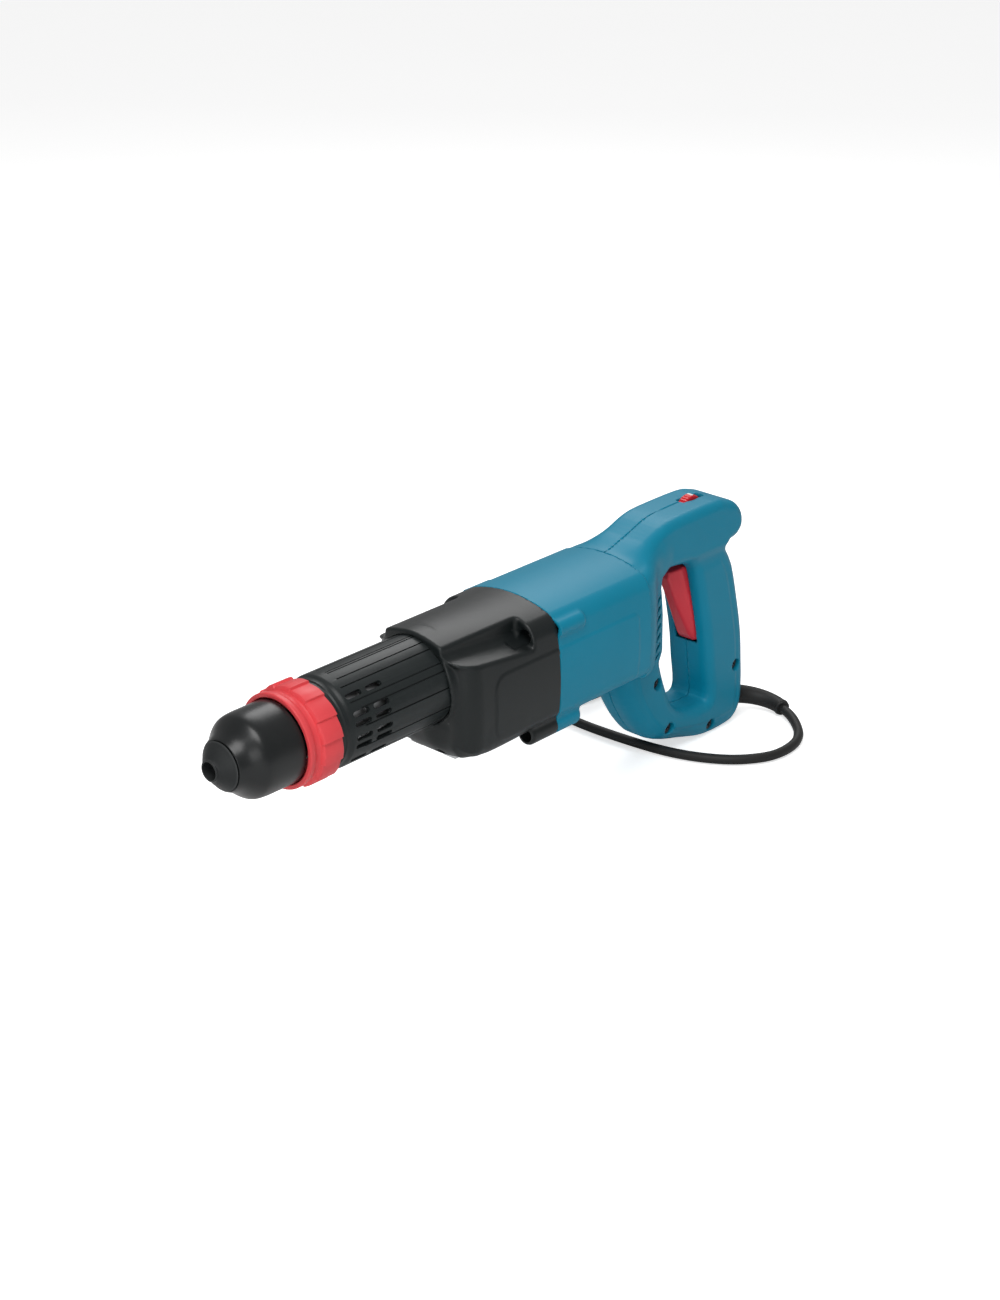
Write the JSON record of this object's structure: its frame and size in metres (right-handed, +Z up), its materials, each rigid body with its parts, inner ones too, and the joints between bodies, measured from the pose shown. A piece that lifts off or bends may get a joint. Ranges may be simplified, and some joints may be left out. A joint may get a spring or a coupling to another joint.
{
  "type": "demolition hammer",
  "caption": "Two-handed electric demolition hammer with a slide-back chuck, turning change ring, ribbed barrel, in-line motor housing and closed D-handle with a long trigger.",
  "frame": {"origin": "centre of the footprint of the tool without its cord, on the surface that the handle stands on", "axes": "+X along the hammer axis from the nose to the handle, +Z up, +Y to the tool's right-hand side seen from behind"},
  "size_m": [0.5118, 0.2574, 0.1798],
  "materials": {
    "boot_rubber": "satin moulded rubber",
    "chuck_black": "satin black lacquered steel",
    "ring_red": "moulded, lightly worn",
    "sleeve_black": "moulded, satin",
    "cover_black": "finely spark-textured",
    "housing_blue": "moulded, satin",
    "trigger_red": "moulded, semi-gloss",
    "dial_red": "moulded",
    "ground_steel": "ground",
    "spring_steel": "drawn wire",
    "dark_steel": "blackened",
    "cast_alloy": "die-cast",
    "bronze": "sintered",
    "copper_wire": "enamelled winding",
    "carbon": "pressed carbon",
    "seal_rubber": "nitrile",
    "inner_plastic": "glass-filled",
    "cord_rubber": "sheathed",
    "plug_black": "moulded",
    "plug_brass": "plated"
  },
  "bodies": {
    "housing": {"dust_seal": "seal_rubber", "holder_bush": "bronze", "barrel_sleeve": "sleeve_black", "barrel_housing": "cast_alloy", "cylinder_tube": "ground_steel", "bolt_bush": "bronze", "gear_cover": "cover_black", "front_bracket": "cast_alloy", "inner_housing": "cast_alloy", "shaft_bearings": "ground_steel", "armature_bearings": "ground_steel", "stator_core": "dark_steel", "field_coils": "copper_wire", "fan_baffle": "inner_plastic", "brush_holders": "bronze", "carbon_brushes": "carbon", "brush_springs": "spring_steel", "motor_housing": "housing_blue", "housing_screws": "dark_steel", "chin_screws": "dark_steel", "handle_left": "housing_blue", "handle_right": "housing_blue", "handle_screws": "dark_steel", "trigger_pin": "ground_steel", "trigger_spring": "spring_steel", "switch_body": "inner_plastic", "speed_module": "inner_plastic", "cord_clamp": "inner_plastic", "cord_guard": "cord_rubber", "power_cord": "cord_rubber", "cord_coil": "cord_rubber", "cord_tie": "inner_plastic", "plug_body": "plug_black", "plug_pins": "plug_brass"},
    "tool_holder": {"tool_holder": "dark_steel", "nose_boot": "boot_rubber", "cover_spring": "spring_steel", "ring_spring": "spring_steel"},
    "chuck_cover": {"chuck_cover": "chuck_black", "ball_guide_ring": "ground_steel"},
    "left_ball": {"lock_ball_left": "ground_steel"},
    "right_ball": {"lock_ball_right": "ground_steel"},
    "change_ring": {"change_ring": "ring_red"},
    "impact_bolt": {"impact_bolt": "ground_steel"},
    "striker": {"striker": "ground_steel", "striker_o_ring": "seal_rubber"},
    "armature": {"armature_shaft": "ground_steel", "armature_core": "dark_steel", "commutator": "copper_wire", "cooling_fan": "inner_plastic"},
    "swash_shaft": {"swash_shaft": "ground_steel", "drive_gear": "ground_steel"},
    "swash_ring": {"swash_ring": "ground_steel"},
    "piston": {"piston_cylinder": "cast_alloy"},
    "piston_pin": {"piston_pin": "ground_steel"},
    "trigger": {"trigger": "trigger_red"},
    "switch_plunger": {"switch_plunger": "inner_plastic"},
    "speed_dial": {"speed_dial": "dial_red"}
  },
  "joints": [
    {"name": "holder_turn", "type": "hinge", "parent": "housing", "child": "tool_holder", "pos_m": [-0.19025, 0, 0.133], "axis": [1, 0, 0], "continuous": true},
    {"name": "cover_slide", "type": "slide", "parent": "tool_holder", "child": "chuck_cover", "axis": [1, 0, 0], "range_m": [0, 0.008], "stiffness_N_per_m": 900, "springref_m": -0.006, "deforming": ["cover_spring"]},
    {"name": "left_ball_slide", "type": "slide", "parent": "tool_holder", "child": "left_ball", "axis": [0, -1, 0], "range_m": [0, 0.0011]},
    {"name": "right_ball_slide", "type": "slide", "parent": "tool_holder", "child": "right_ball", "axis": [0, 1, 0], "range_m": [0, 0.0011]},
    {"name": "ring_slide", "type": "slide", "parent": "tool_holder", "child": "change_ring", "axis": [-1, 0, 0], "range_m": [0, 0.003], "stiffness_N_per_m": 1500, "springref_m": -0.004, "deforming": ["ring_spring"]},
    {"name": "bolt_slide", "type": "slide", "parent": "housing", "child": "impact_bolt", "axis": [1, 0, 0], "range_m": [0, 0.007]},
    {"name": "striker_slide", "type": "slide", "parent": "housing", "child": "striker", "axis": [1, 0, 0], "range_m": [-0.01, 0.005]},
    {"name": "armature_spin", "type": "hinge", "parent": "housing", "child": "armature", "pos_m": [0.01275, 0, 0.1235], "axis": [1, 0, 0], "continuous": true},
    {"name": "swash_shaft_spin", "type": "hinge", "parent": "housing", "child": "swash_shaft", "pos_m": [-0.04525, 0, 0.10395], "axis": [1, 0, 0], "continuous": true},
    {"name": "swash_rock", "type": "hinge", "parent": "housing", "child": "swash_ring", "pos_m": [-0.04525, 0, 0.10395], "axis": [0, 1, 0], "range_deg": [-12, 12]},
    {"name": "piston_slide", "type": "slide", "parent": "housing", "child": "piston", "axis": [1, 0, 0], "range_m": [-0.00617, 0.00617]},
    {"name": "piston_pin_turn", "type": "hinge", "parent": "piston", "child": "piston_pin", "pos_m": [-0.04525, 0, 0.133], "axis": [0, 1, 0], "range_deg": [-12, 12]},
    {"name": "trigger_pull", "type": "hinge", "parent": "housing", "child": "trigger", "pos_m": [0.19875, 0, 0.077], "axis": [0, 1, 0], "range_deg": [0, 10], "stiffness_Nm_per_rad": 1.5, "springref_deg": -8.59, "deforming": ["trigger_spring"]},
    {"name": "plunger_slide", "type": "slide", "parent": "housing", "child": "switch_plunger", "axis": [1, 0, 0], "range_m": [0, 0.0046]},
    {"name": "dial_turn", "type": "hinge", "parent": "housing", "child": "speed_dial", "pos_m": [0.19275, 0, 0.1688], "axis": [0, 1, 0], "range_deg": [-135, 135]}
  ],
  "couplings": [
    {"joint": "left_ball_slide", "follows": "cover_slide", "ratio": 0.1375},
    {"joint": "right_ball_slide", "follows": "cover_slide", "ratio": 0.1375},
    {"joint": "swash_shaft_spin", "follows": "armature_spin", "ratio": -0.25926},
    {"joint": "swash_rock", "follows": "piston_slide", "rad_per_m": 33.919},
    {"joint": "piston_pin_turn", "follows": "piston_slide", "rad_per_m": 33.919},
    {"joint": "plunger_slide", "follows": "trigger_pull", "m_per_rad": 0.026}
  ]
}
